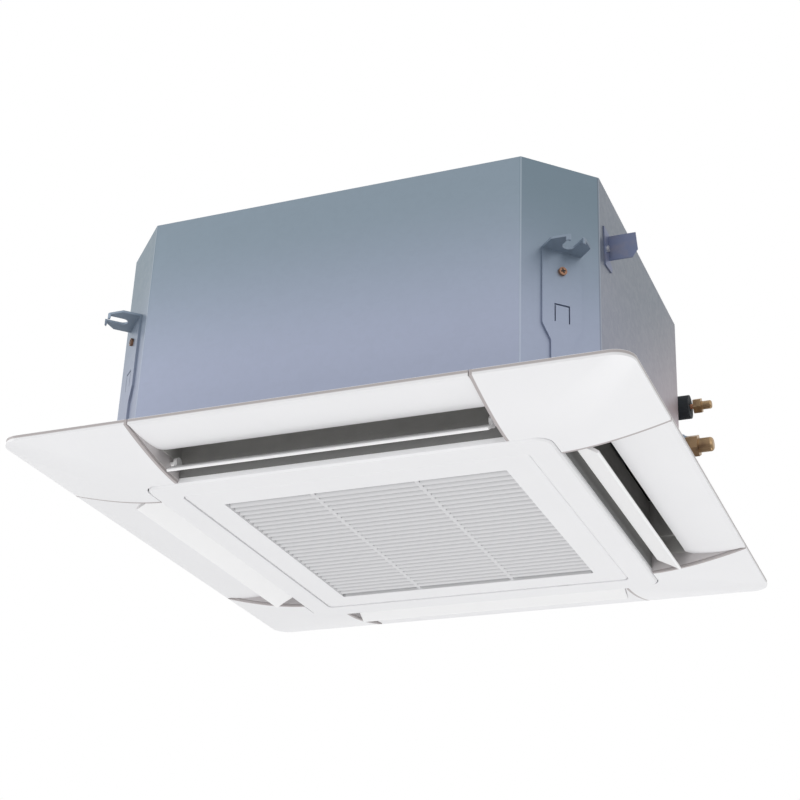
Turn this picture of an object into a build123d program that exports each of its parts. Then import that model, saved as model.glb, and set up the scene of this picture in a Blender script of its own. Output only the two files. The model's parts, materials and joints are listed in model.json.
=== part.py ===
from build123d import *
import math
import os

os.makedirs("parts", exist_ok=True)

# A compact four-way ceiling cassette air conditioner, in millimetres.
# Origin: centre of the ceiling opening, in the plane of the finished ceiling.
# +Z points up into the ceiling void, -Y is the front, +X the side with the pipes.
# A "side frame" is the right-hand side: its X runs outwards from the centre.

# ---- driving dimensions: decoration panel ----
PANEL = 700.0           # side of the square panel
BODY = 575.0            # across the flats of the steel casing
PANEL_CORNER_R = 22.0
RIM_H = 6.0             # height of the rim that lies against the ceiling
RIM_W = 6.0
SWELL = 21.0            # how far the corner covers swell below the rim
SWELL_POWER = 1.6       # shape of that swell, flat in the middle
RING_DROP = 22.5        # centre frame's face below the rim
NECK_H = 17.0           # how far the panel reaches up through the ceiling opening
PANEL_WALL = 2.5
LIP_T = 2.6
LIP_BOW = 2.5           # the lip bows down between the rim and the outlet
LIP_CORNER_R = 10.0     # its corners beside the outlet
OUTLET_HALF = 189.0     # half the length of an air outlet
OUTLET_W = 44.0
OUTLET_EDGE = 9.0       # outlet's outer edge inside the casing's face
DECK_T = 2.5
COVER_T = 2.2
COVER_GAP = 0.3
SEAM = 0.9              # open line between a corner cover and its neighbours
SEAL_T = 2.0
SCREW_OFF = 11.0        # panel screws, outwards from the centre frame's corner
SCREW_R = 2.5
ACCESS_R = 20.0         # reach to a suspension bolt under a corner cover
STUD_R = 2.0
STUD_IN = 28.0          # studs from the panel's edge and from a cover's end
STUD_END = 16.0

# ---- driving dimensions: centre frame, suction grille, filter ----
CENTRE_W = 28.8         # width of the centre frame round the grille's opening
CENTRE_R = 18.0
CENTRE_T = 3.5
CENTRE_CHAMFER = 2.2
UPSTAND_H = 20.0
UPSTAND_T = 2.3
GRILLE_GAP = 0.8
GRILLE_R = 8.0
GRILLE_T = 3.0
GRILLE_RECESS = 0.5
GRILLE_WALL = 2.4
GRILLE_WALL_H = 15.0
FIELD_EDGE = 35.0       # plain border round the field of slats
SLATS = 27
SLAT_RUN = 7.0          # a slat's steep blade, in depth and in height
SLAT_RISE = 8.5
SLAT_LIP = 4.5          # and the flat lip at its lower far edge
SLAT_T = 1.5
SLAT_BEND_R = 3.0
SLAT_RECESS = 2.0
RIB_X = 62.0            # two ribs across the slats
RIB_W = 4.5
RIB_H = 6.0
FILTER_T = 3.0
FILTER_GAP = 1.2
FILTER_EDGE = 9.0
FILTER_BARS = 4
MESH_T = 0.8

# ---- driving dimensions: grille hinges and push catches ----
HINGE_X = (-120.0, 120.0)
HINGE_INSET = 8.0       # hinge line from the grille's far edge
HINGE_LIFT = 3.8        # and above the grille's face
HINGE_R = 1.5
LUG_W = 8.0
LUG_R = 2.6
CATCH_X = (-120.0, 120.0)
CATCH_INSET = 14.4
CATCH_W = 22.0
CATCH_REACH = 20.0
PLUNGER_R = 3.0
PLUNGER_STROKE = 4.0
STRIKE_LIFT = 14.0
STRIKE_T = 1.2
CATCH_H = 14.0

# ---- driving dimensions: flaps ----
FLAP_GAP = 6.0          # flap's end to the outlet's end wall
FLAP_CHORD = 32.5
FLAP_TILT = 29.0        # below the horizontal, as the outlets stand open
FLAP_NOSE_R = 2.2
FLAP_TAIL_R = 1.7
FLAP_BULGE = 0.8
FLAP_CORNER_R = 12.0
PIVOT_IN = 19.5         # hinge line of a flap from the outlet's inner edge
PIVOT_Z = -11.5
PIVOT_CHORD = 8.9       # the hinge line along the flap and above it
PIVOT_LIFT = 5.0
PIN_R = 2.5
RUN_GAP = 0.05
EAR_R = 6.0
EAR_T = 4.0
BOSS_R = 5.0
BOSS_L = 4.0
FLAP_MOTOR_R = 8.8
FLAP_MOTOR_L = 14.0

# ---- driving dimensions: casing and hangers ----
BODY_H = 260.0
CHAMFER = 66.7          # leg of each corner chamfer
SHEET = 1.0
FLANGE = 8.0
CORNER_FLANGE = 28.3
NOTCH_IN = 52.5         # the pipe corner is set back by this much
NOTCH_Y = 132.0
NOTCH_LIFT = 76.0       # and starts this far above the casing's bottom
TOP_RIB = 3.0
HOOK_DOWN = 105.0       # hook's flange below the casing's top
HOOK_W = 46.0
HOOK_T = 2.6
HOOK_PLATE_H = 130.0
HOOK_REACH = 36.0
HOOK_SLOT_W = 14.0
HOOK_SLOT_IN = 11.0     # slot's closed end from the chamfer
HOOK_LIP = 7.0
HOOK_NECK_W = 26.0
WINDOW_W = 18.0
WINDOW_H = 21.0
WINDOW_DOWN = 75.0
BRACKET_SCREW_DOWN = 26.0
BRACKET_SCREW_R = 4.6

# ---- driving dimensions: insides ----
LINER_T = 18.0
LINER_TOP = 9.0
NOTCH_LINER = 9.0
FIT = 0.2
PAN_H = 46.0
TROUGH = 8.0            # the coil stands in a trough this deep
TROUGH_GAP = 1.5
PAN_LEDGE = 30.0        # underside of the pan over the bell mouth and control box
PAN_WALL = 4.0
COIL_DEPTH = 37.0
COIL_H = 186.0
COIL_R = 45.0
COIL_END_Y = 92.0
COIL_END_X = 118.0
PLATE_T = 2.0
TUBE_R = 4.0
BENDS = 5
MOUTH_R = 122.0         # throat of the bell mouth
MOUTH_FLARE = 26.0
MOUTH_OVERLAP = 5.0     # how far the throat reaches into the fan's inlet
MOUTH_T = 2.5
MOUTH_H = 54.0
FAN_R = 152.0
FAN_IN_R = 128.0
FAN_H = 138.0
FAN_T = 2.5
SHROUD_H = 26.0
BLADES = 7
HUB_R = 46.0
HUB_DROP = 42.0
CONE_R = 82.0
BLADE_IN_R = 92.0
BLADE_SWEEP = 40.0
SHAFT_R = 5.0
MOTOR_R = 62.0
MOTOR_H = 44.0
MOTOR_GAP = 8.0
FOOT_R = 9.0
FEET = 3

# ---- driving dimensions: pipes ----
PIPE_Y = 165.0
PIPE_OUT = 35.5         # how far the pipes' ends stand out of the casing
LIQUID_Z = 178.0
GAS_Z = 124.0
LIQUID_R = 3.2
GAS_R = 6.35
SLEEVE_R = 15.0
SLEEVE_OUT = 8.5
GAS_SLEEVE_L = 35.0     # lower sleeve, from the pipe corner's face
LIQUID_NUT_AF = 17.0
GAS_NUT_AF = 25.0
LIQUID_NUT_OUT = 13.0
GAS_NUT_OUT = 2.5
LIQUID_NUT_L = 10.0
GAS_NUT_L = 15.0
LIQUID_CAP_R = 5.3
GAS_CAP_R = 9.0
HEADER_R = 8.0
HEADER_IN = 29.0        # header and liquid pipe from the coil's outer face
HEADER_OFF = 28.0       # header's axis from the coil's end plate
LIQUID_IN = 17.0
GAS_BEND_R = 22.0
LIQUID_BEND_R = 12.0
DRAIN_R = 13.0
DRAIN_BORE_R = 10.0
DRAIN_X = 172.0
DRAIN_Z = 196.0
SOCKET_OUT = 22.0
SOCKET_IN = 26.0
HOSE_R = 9.0
PUMP_IN = 29.0
PUMP_R = 24.0
CHAMBER_Z = 132.0
CHAMBER_H = 18.0
IMPELLER_R = 18.0
FLOAT_X = 147.0
FLOAT_IN = 15.0
FLOAT_R = 9.0
FLOAT_H = 14.0
STEM_R = 3.0
STEM_H = 58.0

# ---- driving dimensions: electrics and small brackets ----
BOX_W = 50.0
BOX_L = 300.0
BOX_WALL = 1.0
BOARD_T = 1.6
GROMMET_R = 12.0
GROMMET_RIM = 3.0
GROMMET_BORE_R = 7.0
GROMMET_Y = 150.0
GROMMET_Z = 92.0
POST_T = 2.0
POST_DEPTH = 14.0
CLIP_Y = -188.0         # leg of the folded bracket on the right face
CLIP_Z = 193.0
CLIP_LEG_L = 32.0
CLIP_LEG_H = 30.0
CLIP_T = 1.5
CLIP_SCREW_R = 3.6

# ---- sizes that follow ----
HALF = PANEL / 2
BODY_HALF = BODY / 2
OUTLET_OUT = BODY_HALF - OUTLET_EDGE
OUTLET_IN = OUTLET_OUT - OUTLET_W
PIVOT_OUT = OUTLET_IN + PIVOT_IN
FLAP_HALF = OUTLET_HALF - FLAP_GAP
CENTRE_HALF = OUTLET_IN - PANEL_WALL
SUCTION_HALF = CENTRE_HALF - CENTRE_W
SUCTION_WALL = SUCTION_HALF + UPSTAND_T + FIT
GRILLE_HALF = SUCTION_HALF - GRILLE_GAP
FIELD_HALF = GRILLE_HALF - FIELD_EDGE
SCREW_AT = CENTRE_HALF + SCREW_OFF
STUD_A = OUTLET_HALF + STUD_END
STUD_B = HALF - STUD_IN
COVER_STUDS = ((STUD_A, STUD_B), (STUD_B, STUD_A), (STUD_B - 12, STUD_B - 12))
RIM_Z = -RIM_H
FACE_Z = RIM_Z - RING_DROP
CENTRE_TOP = FACE_Z + CENTRE_T
BODY_Z = NECK_H + SEAL_T
BODY_TOP = BODY_Z + BODY_H
NOTCH_X = BODY_HALF - NOTCH_IN
NOTCH_Z = BODY_Z + NOTCH_LIFT
PAN_Z = BODY_Z + SHEET
PAN_TOP = PAN_Z + PAN_H
COIL_Z = PAN_TOP - TROUGH
COIL_TOP = COIL_Z + COIL_H
ROOM_TOP = BODY_TOP - SHEET - FIT - LINER_TOP
MOUTH_TOP = BODY_Z + MOUTH_H
FAN_Z = MOUTH_TOP - MOUTH_OVERLAP
FAN_TOP = FAN_Z + FAN_H
MOTOR_Z = FAN_TOP + MOTOR_GAP
HUB_Z = FAN_TOP - HUB_DROP
COIL_HALF = OUTLET_IN - PAN_WALL - TROUGH_GAP
HEADER_X = COIL_HALF - HEADER_IN
LIQUID_X = COIL_HALF - LIQUID_IN
PUMP_Y = COIL_HALF - PUMP_IN
FLOAT_Y = COIL_HALF - FLOAT_IN
PIPE_END = BODY_HALF + PIPE_OUT
SLEEVE_END = BODY_HALF + SLEEVE_OUT
LIQUID_NUT_X = BODY_HALF + LIQUID_NUT_OUT
GAS_NUT_X = BODY_HALF + GAS_NUT_OUT
CHAMFER_OUT = (2 * BODY_HALF - CHAMFER) / math.sqrt(2)
HOOK_TOP = BODY_TOP - HOOK_DOWN
BOLT_AT = (CHAMFER_OUT + HOOK_SLOT_IN + HOOK_SLOT_W / 2) / math.sqrt(2)
HINGE_Y = GRILLE_HALF - HINGE_INSET
HINGE_Z = FACE_Z + GRILLE_RECESS + HINGE_LIFT
CATCH_Y = -GRILLE_HALF + CATCH_INSET
STRIKE_Z = FACE_Z + GRILLE_RECESS + STRIKE_LIFT
SIDES = {"right": 0, "rear": 90, "left": 180, "front": 270}
CORNERS = {"rear_right": 45, "rear_left": 135, "front_left": 225, "front_right": 315}


def save(shape, name):
    export_step(shape, "parts/" + name + ".step")


def block(x0, x1, y0, y1, z0, z1):
    return Pos((x0 + x1) / 2, (y0 + y1) / 2, (z0 + z1) / 2) * Box(x1 - x0, y1 - y0, z1 - z0)


def rod(radius, z0, z1, x=0.0, y=0.0):
    return Pos(x, y, (z0 + z1) / 2) * Cylinder(radius, z1 - z0)


def rod_x(radius, x0, x1, y, z):
    return Pos((x0 + x1) / 2, y, z) * Rot(0, 90, 0) * Cylinder(radius, x1 - x0)


def rod_y(radius, y0, y1, x, z):
    return Pos(x, (y0 + y1) / 2, z) * Rot(90, 0, 0) * Cylinder(radius, y1 - y0)


def slab(face, z0, z1):
    return Pos(0, 0, z0) * extrude(face, z1 - z0)


def outline(points):
    return make_face(Polyline(*points, close=True))


def octagon(half, leg):
    """Square of the given half width with each corner cut off by one leg."""
    near = half - leg
    return outline([(half, near), (near, half), (-near, half), (-half, near),
                    (-half, -near), (-near, -half), (near, -half), (half, -near)])


def inset_octagon(inset):
    """The casing's outline moved inwards, chamfers by the same amount."""
    return octagon(BODY_HALF - inset, CHAMFER - inset * (2 - math.sqrt(2)))


def square(half, radius):
    return RectangleRounded(2 * half, 2 * half, radius)


def frame(outer, inner, z0, z1, outer_r, inner_r):
    return slab(square(outer, outer_r) - square(inner, inner_r), z0, z1)


def side_bar(face, half_length):
    """Section drawn outwards and up in the side frame, run along that side."""
    return extrude(Plane.XZ * face, half_length, both=True)


def turned(shape, side):
    return Rot(0, 0, SIDES[side]) * shape


def revolved(points):
    return revolve(Plane.XZ * outline(points), Axis.Z)


def hexagon(across_flats, x0, x1, y, z):
    face = RegularPolygon(across_flats / 2, 6, major_radius=False)
    return Pos(x0, y, z) * Rot(0, 90, 0) * extrude(face, x1 - x0)


# ---- panel ----
def swell_z(out):
    """Height of the corner covers' face at a distance from the centre."""
    share = max(out - CENTRE_HALF, 0.0) / (HALF - CENTRE_HALF)
    return RIM_Z - SWELL * (1 - share ** SWELL_POWER)


def dish(inset, lift, top):
    """The panel's swelling underside as a solid up to a flat top."""
    steps = ((0.0, PANEL_CORNER_R), (0.25, 34.0), (0.5, 40.0), (0.75, 40.0), (1.0, 30.0))
    sections = []
    for share, radius in steps:
        out = HALF + share * (CENTRE_HALF - HALF)
        section = square(out - inset, radius - inset)
        sections.append(Pos(0, 0, swell_z(out) + lift) * section)
    swell = loft(sections)
    return swell + slab(square(HALF - inset, PANEL_CORNER_R - inset), RIM_Z + lift, top)


def lip_corner():
    """What is rounded off a lip's corner beside the outlet."""
    radius = LIP_CORNER_R
    corner = Pos(OUTLET_OUT, OUTLET_HALF) * Rectangle(2 * radius, 2 * radius)
    corner -= Pos(OUTLET_OUT + radius, OUTLET_HALF - radius) * Circle(radius)
    corner &= Pos(OUTLET_OUT + radius / 2, OUTLET_HALF - radius / 2) * Rectangle(radius, radius)
    return slab(corner, FACE_Z, RIM_Z + LIP_T + 1)


def panel_frame():
    wall_out = OUTLET_OUT + PANEL_WALL
    inside = HALF - RIM_W
    middle = (inside + OUTLET_OUT) / 2
    bow_low = ThreePointArc((inside, RIM_Z), (middle, RIM_Z - LIP_BOW), (OUTLET_OUT, RIM_Z + 0.2))
    bow_top = ThreePointArc((wall_out, RIM_Z + LIP_T), (middle, RIM_Z - LIP_BOW + LIP_T),
                            (inside, RIM_Z + LIP_T))
    duct = Polyline((OUTLET_OUT, RIM_Z + 0.2), (OUTLET_OUT, NECK_H), (wall_out + RIM_W, NECK_H),
                    (wall_out + RIM_W, NECK_H - PANEL_WALL), (wall_out, NECK_H - PANEL_WALL),
                    (wall_out, RIM_Z + LIP_T))
    rim = Polyline((inside, RIM_Z + LIP_T), (inside, 0), (HALF, 0), (HALF, RIM_Z), (inside, RIM_Z))
    lip = make_face([bow_low, duct, bow_top, rim])
    shape = frame(OUTLET_IN, SUCTION_WALL, NECK_H - PANEL_WALL, NECK_H, CENTRE_R, 3)
    shape += frame(OUTLET_IN, CENTRE_HALF, CENTRE_TOP, NECK_H, CENTRE_R, CENTRE_R - PANEL_WALL)
    shape += frame(SUCTION_WALL + PANEL_WALL, SUCTION_WALL, CENTRE_TOP, NECK_H, 3, 1)
    above_covers = dish(RIM_W / 2, COVER_T + COVER_GAP, NECK_H)
    end_y = OUTLET_HALF + PANEL_WALL
    deck_half = HALF - RIM_W + 2
    lip_bar = side_bar(lip, OUTLET_HALF)
    for end in (lip_corner(), mirror(lip_corner(), Plane.XZ)):
        lip_bar -= end
    for side in SIDES:
        shape += turned(lip_bar, side)
        wall = block(CENTRE_HALF, wall_out + RIM_W, OUTLET_HALF, end_y, FACE_Z, NECK_H)
        wall += block(CENTRE_HALF, deck_half, OUTLET_HALF, end_y, FACE_Z, 0)
        wall &= above_covers
        wall += mirror(wall, Plane.XZ)
        shape += turned(wall, side)
        boss_end = end_y + BOSS_L
        for y0, y1 in ((OUTLET_HALF, boss_end), (-boss_end, -OUTLET_HALF)):
            shape += turned(rod_y(BOSS_R, y0, y1, PIVOT_OUT, PIVOT_Z), side)
    corner = block(end_y - 1, deck_half, end_y - 1, deck_half, -DECK_T, 0)
    corner -= slab(square(CENTRE_HALF, CENTRE_R - PANEL_WALL), -DECK_T, 0)
    corner &= slab(square(deck_half, PANEL_CORNER_R), -DECK_T, 0)
    corner += rod(BOSS_R + 1, -DECK_T, NECK_H, SCREW_AT, SCREW_AT)
    corner -= rod(SCREW_R + 0.1, -DECK_T, NECK_H, SCREW_AT, SCREW_AT)
    corner -= rod(ACCESS_R, -DECK_T, 0, BOLT_AT, BOLT_AT)
    for x, y in COVER_STUDS:
        corner -= rod(STUD_R + COVER_GAP / 2, -DECK_T, 0, x, y)
    for angle in SIDES.values():
        shape += Rot(0, 0, angle) * corner
    for side in SIDES:
        bore = rod_y(PIN_R + RUN_GAP, OUTLET_HALF - 1, end_y + BOSS_L, PIVOT_OUT, PIVOT_Z)
        shape -= turned(bore, side)
        shape -= turned(mirror(bore, Plane.XZ), side)
    return shape


def corner_cover(name):
    low = OUTLET_HALF + SEAM
    zone = block(low, HALF, low, HALF, FACE_Z, 0)
    zone -= slab(square(OUTLET_IN + SEAM, CENTRE_R), FACE_Z, 0)
    outer = dish(0, 0, 0)
    inner = dish(RIM_W / 2, COVER_T, 1)
    shape = (outer - inner) & zone
    for x, y in COVER_STUDS:
        shape += rod(STUD_R * 2, FACE_Z, -DECK_T, x, y) & outer
        shape += rod(STUD_R, -DECK_T, 2, x, y)
    return Rot(0, 0, CORNERS[name] - 45) * shape


def centre_frame():
    shape = slab(square(CENTRE_HALF + CENTRE_CHAMFER, CENTRE_R), FACE_Z, CENTRE_TOP)
    shape = chamfer(shape.edges().group_by(Axis.Z)[0], CENTRE_CHAMFER)
    shape -= slab(square(SUCTION_HALF, GRILLE_R), FACE_Z, CENTRE_TOP)
    wall_top = FACE_Z + UPSTAND_H
    shape += frame(SUCTION_HALF + UPSTAND_T, SUCTION_HALF, FACE_Z + 1, wall_top,
                   GRILLE_R + UPSTAND_T, GRILLE_R)
    for x in HINGE_X:
        reach = block(x - LUG_W / 2, x + LUG_W / 2, HINGE_Y - 2, SUCTION_HALF + UPSTAND_T,
                      wall_top, wall_top + 3)
        neck = block(x - LUG_W / 2, x + LUG_W / 2, HINGE_Y - 2, HINGE_Y + 2, HINGE_Z, wall_top + 3)
        lug = reach + neck + rod_x(LUG_R, x - LUG_W / 2, x + LUG_W / 2, HINGE_Y, HINGE_Z)
        shape += lug - rod_x(HINGE_R + RUN_GAP, x - LUG_W, x + LUG_W, HINGE_Y, HINGE_Z)
    for x in CATCH_X:
        shelf = block(x - CATCH_W / 2, x + CATCH_W / 2, -SUCTION_HALF - UPSTAND_T,
                      -SUCTION_HALF + CATCH_REACH, wall_top, wall_top + 3)
        shape += shelf - rod(PLUNGER_R + FIT, wall_top, wall_top + 3, x, CATCH_Y)
    return shape


def slat_section():
    """Slat seen along X: a steep blade that curls into a flat lip at its lower far edge."""
    slope = math.atan2(SLAT_RISE, SLAT_RUN)
    aside = SLAT_T / math.sin(slope)
    inner_x = aside - SLAT_T / math.tan(slope)
    face = outline([(-SLAT_RUN, SLAT_RISE), (0, 0), (SLAT_LIP, 0), (SLAT_LIP, SLAT_T),
                    (inner_x, SLAT_T), (aside - SLAT_RUN, SLAT_RISE)])
    bends = face.vertices().filter_by(lambda v: abs(v.X) < aside and v.Y < SLAT_T + 0.1)
    face = fillet(bends.sort_by(Axis.Y)[0], SLAT_BEND_R)
    return fillet(face.vertices().filter_by(lambda v: abs(v.X - inner_x) < 0.01),
                  SLAT_BEND_R - SLAT_T)


def suction_grille():
    low = FACE_Z + GRILLE_RECESS
    wall_top = low + GRILLE_WALL_H
    shape = frame(GRILLE_HALF, FIELD_HALF, low, low + GRILLE_T, GRILLE_R, 3)
    shape += frame(GRILLE_HALF, GRILLE_HALF - GRILLE_WALL, low, wall_top,
                   GRILLE_R, GRILLE_R - GRILLE_WALL)
    shape += frame(FIELD_HALF + GRILLE_WALL, FIELD_HALF, low, wall_top - 4, 5, 3)
    far_edge = shape.edges().filter_by(Axis.X).filter_by(
        lambda e: abs(e.center().Y - GRILLE_HALF) < 0.1 and abs(e.center().Z - low) < 0.1)
    shape = fillet(far_edge, 2.4)
    slat = extrude(Plane.YZ * slat_section(), FIELD_HALF + 0.5, both=True)
    pitch = 2 * FIELD_HALF / (SLATS + 1)
    slat_z = low + SLAT_RECESS
    shift = (SLAT_RUN - SLAT_LIP) / 2
    slats = [Pos(0, pitch * (k - (SLATS - 1) / 2) + shift, slat_z) * slat for k in range(SLATS)]
    shape += slats
    for x in (-RIB_X, RIB_X):
        shape += block(x - RIB_W / 2, x + RIB_W / 2, -FIELD_HALF - 1, FIELD_HALF + 1,
                       slat_z + SLAT_T / 2, slat_z + SLAT_T / 2 + RIB_H)
    for x in HINGE_X:
        half = LUG_W / 2 + 1
        for x0, x1 in ((x - half - 6, x - half), (x + half, x + half + 6)):
            shape += block(x0, x1, HINGE_Y - 3, GRILLE_HALF - 1, low + 1, HINGE_Z + 3)
        shape -= block(x - half, x + half, HINGE_Y - 5, GRILLE_HALF + 1, low + 1, wall_top + 1)
        shape -= rod_x(HINGE_R, x - half - 6, x + half + 6, HINGE_Y, HINGE_Z)
    for x in CATCH_X:
        shape += block(x - 8, x + 8, CATCH_Y - 5, CATCH_Y + 5, low + 1, STRIKE_Z)
    return shape


def hinge_pins():
    half = LUG_W / 2 + 7
    pins = [rod_x(HINGE_R, x - half, x + half, HINGE_Y, HINGE_Z) for x in HINGE_X]
    return Compound(pins)


def air_filter():
    low = FACE_Z + GRILLE_RECESS + GRILLE_WALL_H - 4
    half = GRILLE_HALF - GRILLE_WALL - FILTER_GAP
    shape = frame(half, half - FILTER_EDGE, low, low + FILTER_T, 4, 2)
    inner = half - FILTER_EDGE + 1
    shape += block(-inner, inner, -inner, inner, low + 1, low + 1 + MESH_T)
    pitch = 2 * inner / (FILTER_BARS + 1)
    for k in range(FILTER_BARS):
        at = pitch * (k + 1) - inner
        shape += block(at - 1.2, at + 1.2, -inner, inner, low, low + FILTER_T)
        shape += block(-inner, inner, at - 1.2, at + 1.2, low, low + FILTER_T)
    for x in HINGE_X:
        shape -= block(x - LUG_W / 2 - 2, x + LUG_W / 2 + 2, HINGE_Y - 6, half + 1,
                       low - 1, low + FILTER_T + 1)
    for x in CATCH_X:
        shape -= block(x - 11, x + 11, -half - 1, CATCH_Y + 9, low - 1, low + FILTER_T + 1)
    return shape


def strike_plates():
    plates = [block(x - 7, x + 7, CATCH_Y - 4, CATCH_Y + 4, STRIKE_Z, STRIKE_Z + STRIKE_T)
              for x in CATCH_X]
    return Compound(plates)


def catch_housings():
    low = FACE_Z + UPSTAND_H + 3
    shells = []
    for x in CATCH_X:
        shell = block(x - 7, x + 7, CATCH_Y - 6, CATCH_Y + 6, low, low + CATCH_H)
        shells.append(shell - rod(PLUNGER_R + FIT, low, low + CATCH_H - 1.5, x, CATCH_Y))
    return Compound(shells)


def catch_plunger(x):
    low = STRIKE_Z + STRIKE_T + 0.1
    top = FACE_Z + UPSTAND_H + 3 + CATCH_H - 1.5 - PLUNGER_STROKE - 1
    return rod(PLUNGER_R, low, top, x, CATCH_Y)


# ---- flaps ----
def flap(side):
    tilt = math.radians(FLAP_TILT)
    nose_x = PIVOT_OUT - PIVOT_CHORD * math.cos(tilt) - PIVOT_LIFT * math.sin(tilt)
    nose_z = PIVOT_Z + PIVOT_CHORD * math.sin(tilt) - PIVOT_LIFT * math.cos(tilt)
    nose, tail, middle = FLAP_NOSE_R, FLAP_TAIL_R, FLAP_CHORD / 2
    top_mid = (nose + tail) / 2 + FLAP_BULGE
    edge = [ThreePointArc((nose, -nose), (0, 0), (nose, nose)),
            ThreePointArc((nose, nose), (middle, top_mid), (FLAP_CHORD - tail, tail)),
            ThreePointArc((FLAP_CHORD - tail, tail), (FLAP_CHORD, 0), (FLAP_CHORD - tail, -tail)),
            ThreePointArc((FLAP_CHORD - tail, -tail), (middle, -top_mid + 2 * FLAP_BULGE),
                          (nose, -nose))]
    blade = side_bar(make_face(edge), FLAP_HALF)
    plan = Pos(FLAP_CHORD / 2, 0) * Rectangle(FLAP_CHORD + 2, 2 * FLAP_HALF)
    plan = fillet(plan.vertices().group_by(Axis.X)[0], FLAP_CORNER_R)
    blade &= slab(plan, -20, 20)
    ear = rod_y(EAR_R, FLAP_HALF - EAR_T, FLAP_HALF, PIVOT_CHORD, PIVOT_LIFT)
    ear += block(PIVOT_CHORD - EAR_R, PIVOT_CHORD + EAR_R, FLAP_HALF - EAR_T, FLAP_HALF,
                 0, PIVOT_LIFT)
    pin_end = OUTLET_HALF + PANEL_WALL + BOSS_L
    ear += rod_y(PIN_R, FLAP_HALF - EAR_T, pin_end, PIVOT_CHORD, PIVOT_LIFT)
    shape = blade + ear + mirror(ear, Plane.XZ)
    return turned(Pos(nose_x, 0, nose_z) * Rot(0, FLAP_TILT, 0) * shape, side)


def flap_motors():
    start = OUTLET_HALF + PANEL_WALL + BOSS_L
    motors = []
    for side in SIDES:
        can = rod_y(FLAP_MOTOR_R, start, start + FLAP_MOTOR_L, PIVOT_OUT, PIVOT_Z)
        ears = block(PIVOT_OUT - FLAP_MOTOR_R - 5, PIVOT_OUT + FLAP_MOTOR_R + 5,
                     start, start + 1.2, PIVOT_Z - 3.5, PIVOT_Z + 3.5)
        motors.append(turned(can + ears, side))
    return Compound(motors)


def panel_screws():
    head = rod(5.5, -DECK_T - 2.5, -DECK_T, SCREW_AT, SCREW_AT)
    screw = head + rod(SCREW_R, -DECK_T, BODY_Z + 12, SCREW_AT, SCREW_AT)
    return Compound([Rot(0, 0, angle) * screw for angle in SIDES.values()])


def panel_seal():
    outer = OUTLET_OUT + PANEL_WALL + RIM_W
    shape = frame(outer, SUCTION_WALL, NECK_H, BODY_Z, 5, 3)
    slot = block(OUTLET_IN, OUTLET_OUT, -OUTLET_HALF, OUTLET_HALF, NECK_H, BODY_Z)
    boss = rod(BOSS_R + 1.2, NECK_H, BODY_Z, SCREW_AT, SCREW_AT)
    for angle in SIDES.values():
        shape -= Rot(0, 0, angle) * slot
        shape -= Rot(0, 0, angle) * boss
    return shape


# ---- casing ----
def notch(grow):
    """Space left free at the pipe corner, grown towards the inside of the unit."""
    return block(NOTCH_X - grow, BODY_HALF + 1, NOTCH_Y - grow, BODY_HALF + 1,
                 NOTCH_Z - grow, BODY_TOP + 1)


def casing_shell():
    top = BODY_TOP - SHEET
    shape = slab(octagon(BODY_HALF, CHAMFER), BODY_Z, top) - notch(0)
    shape -= slab(inset_octagon(SHEET), BODY_Z + SHEET, top) - notch(SHEET)
    shape -= slab(bottom_opening(0), BODY_Z, BODY_Z + SHEET)
    for angle in SIDES.values():
        shape -= Rot(0, 0, angle) * rod(SCREW_R + 0.1, BODY_Z, BODY_Z + SHEET, SCREW_AT, SCREW_AT)
    shape -= rod_x(SLEEVE_R + 1.5, NOTCH_X - SHEET - 1, NOTCH_X + 1, PIPE_Y, LIQUID_Z)
    shape -= rod_x(SLEEVE_R + 1.5, NOTCH_X - SHEET - 1, NOTCH_X + 1, PIPE_Y, GAS_Z)
    shape -= rod_y(DRAIN_R + FIT, BODY_HALF - SHEET - 1, BODY_HALF + 1, DRAIN_X, DRAIN_Z)
    shape -= rod_x(GROMMET_R, -BODY_HALF - 1, -BODY_HALF + SHEET + 1, GROMMET_Y, GROMMET_Z)
    return shape


def bottom_opening(inset):
    half = BODY_HALF - FLANGE - inset
    return octagon(half, CHAMFER + CORNER_FLANGE)


def top_plate():
    plan = inset_octagon(0) - Pos(NOTCH_X, NOTCH_Y) * Rectangle(BODY, BODY, align=Align.MIN)
    shape = slab(plan, BODY_TOP - SHEET, BODY_TOP)
    for radius in (MOTOR_R + 14, MOTOR_R + 64):
        shape += rod(radius + 6, BODY_TOP, BODY_TOP + TOP_RIB) - rod(radius, BODY_TOP,
                                                                    BODY_TOP + TOP_RIB)
    return shape


def insulation_liner():
    skin = SHEET + FIT
    top = BODY_TOP - SHEET - FIT
    shape = slab(inset_octagon(skin), PAN_TOP, top) - notch(skin)
    room = slab(inset_octagon(skin + LINER_T), PAN_TOP - 1, top - LINER_TOP)
    shape -= room - notch(skin + NOTCH_LINER)
    shape -= rod(MOTOR_R + 6, top - LINER_TOP - 1, top + 1)
    shape -= rod_x(SLEEVE_R + 1.5, NOTCH_X - 30, NOTCH_X, PIPE_Y, LIQUID_Z)
    shape -= rod_x(SLEEVE_R + 1.5, NOTCH_X - 30, NOTCH_X, PIPE_Y, GAS_Z)
    shape -= rod_y(DRAIN_R + FIT, BODY_HALF - 40, BODY_HALF, DRAIN_X, DRAIN_Z)
    shape -= rod_x(GROMMET_R + GROMMET_RIM + FIT, -BODY_HALF, NOTCH_LINER - BODY_HALF + LINER_T,
                   GROMMET_Y, GROMMET_Z)
    return shape


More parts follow.
